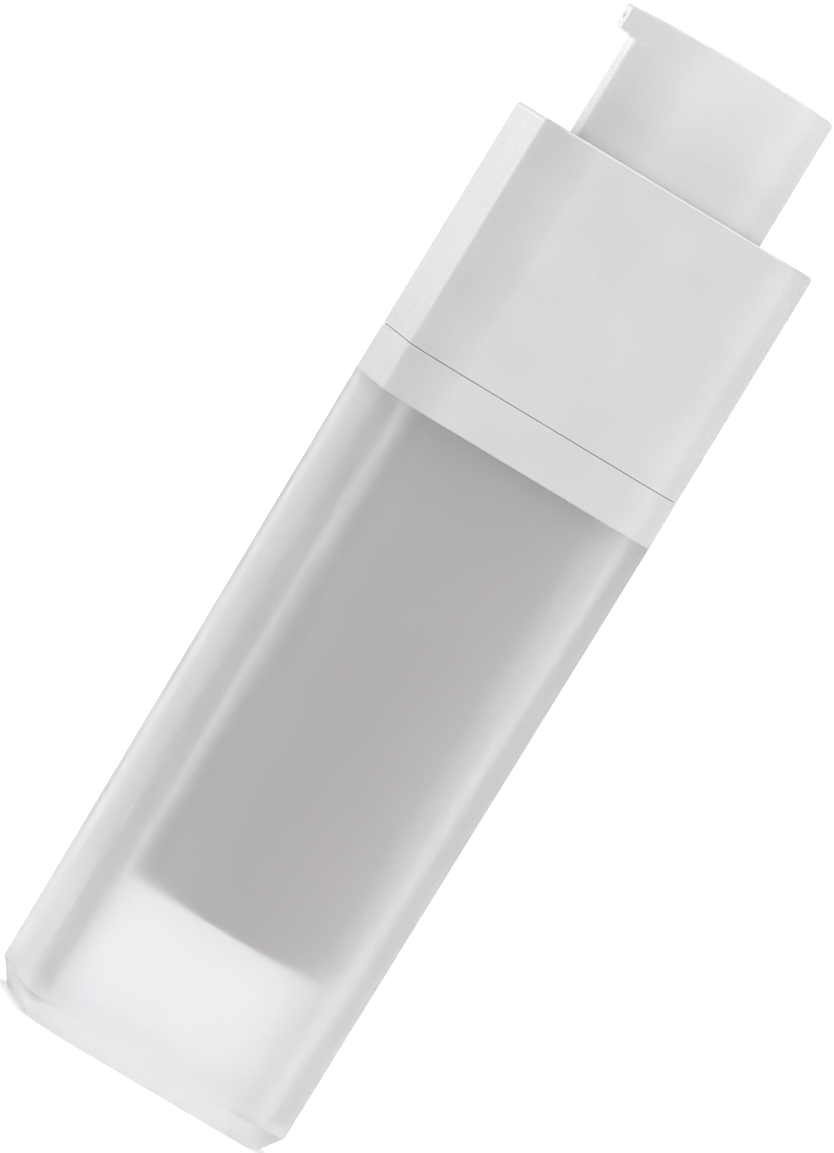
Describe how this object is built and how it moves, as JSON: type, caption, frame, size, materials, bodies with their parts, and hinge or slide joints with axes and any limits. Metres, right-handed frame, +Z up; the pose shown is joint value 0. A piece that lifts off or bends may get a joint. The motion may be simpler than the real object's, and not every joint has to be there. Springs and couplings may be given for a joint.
{
  "type": "airless pump bottle",
  "caption": "Square frosted airless pump bottle with a white turning collar that raises a push head, a round inner cup and a follower piston.",
  "frame": {"origin": "centre of the square foot, on the surface that it stands on", "axes": "+Z up through the bottle and its push head; the nozzle points along -Y"},
  "size_m": [0.036, 0.036, 0.1348],
  "materials": {
    "frosted_bottle": "frosted clear PETG, 3 mm wall",
    "satin_collar": "satin white ABS",
    "satin_head": "satin white PP",
    "natural_sleeve": "white POM, as moulded",
    "natural_carrier": "white PP, as moulded",
    "clear_housing": "natural PP, translucent",
    "natural_cap": "natural PP",
    "soft_seal": "soft white elastomer",
    "steel_ball": "polished stainless steel",
    "spring_steel": "drawn stainless wire",
    "cup_wall": "grey-white PP",
    "follower": "white PE"
  },
  "bodies": {
    "bottle": {"outer_bottle": "frosted_bottle"},
    "ring": {"collar_ring": "satin_collar", "cam_sleeve": "natural_sleeve"},
    "collar": {"upper_collar": "satin_collar"},
    "carrier": {"lift_carrier": "natural_carrier", "pump_housing": "clear_housing", "housing_cap": "natural_cap", "neck_gasket": "soft_seal", "return_spring": "spring_steel"},
    "ball": {"inlet_ball": "steel_ball"},
    "head": {"press_head": "satin_head", "nozzle_duct": "natural_carrier", "outlet_valve": "soft_seal", "nozzle_tip": "satin_head", "pump_stem": "natural_cap", "pump_piston": "soft_seal"},
    "cup": {"inner_cup": "cup_wall", "cup_base": "cup_wall"},
    "follower": {"follower_piston": "follower"}
  },
  "joints": [
    {"name": "head_lift", "type": "slide", "parent": "bottle", "child": "ring", "axis": [0, 0, 1], "range_m": [0, 0.045]},
    {"name": "collar_turn", "type": "hinge", "parent": "ring", "child": "collar", "pos_m": [0, 0, 0.0881], "axis": [0, 0, 1], "range_deg": [0, 90]},
    {"name": "carrier_rise", "type": "slide", "parent": "collar", "child": "carrier", "axis": [0, 0, 1], "range_m": [-0.0161, 0]},
    {"name": "cup_rise", "type": "slide", "parent": "bottle", "child": "cup", "axis": [0, 0, 1], "range_m": [-0.0161, 0]},
    {"name": "head_press", "type": "slide", "parent": "carrier", "child": "head", "axis": [0, 0, -1], "range_m": [0, 0.0032], "stiffness_N_per_m": 1200, "springref_m": -0.004, "deforming": ["return_spring"]},
    {"name": "inlet_ball_lift", "type": "slide", "parent": "carrier", "child": "ball", "axis": [0, 0, 1], "range_m": [0, 0.0004]},
    {"name": "follower_rise", "type": "slide", "parent": "cup", "child": "follower", "axis": [0, 0, 1], "range_m": [0, 0.0683]}
  ],
  "couplings": [
    {"joint": "carrier_rise", "follows": "collar_turn", "m_per_rad": -0.01025},
    {"joint": "cup_rise", "follows": "collar_turn", "m_per_rad": -0.01025}
  ]
}
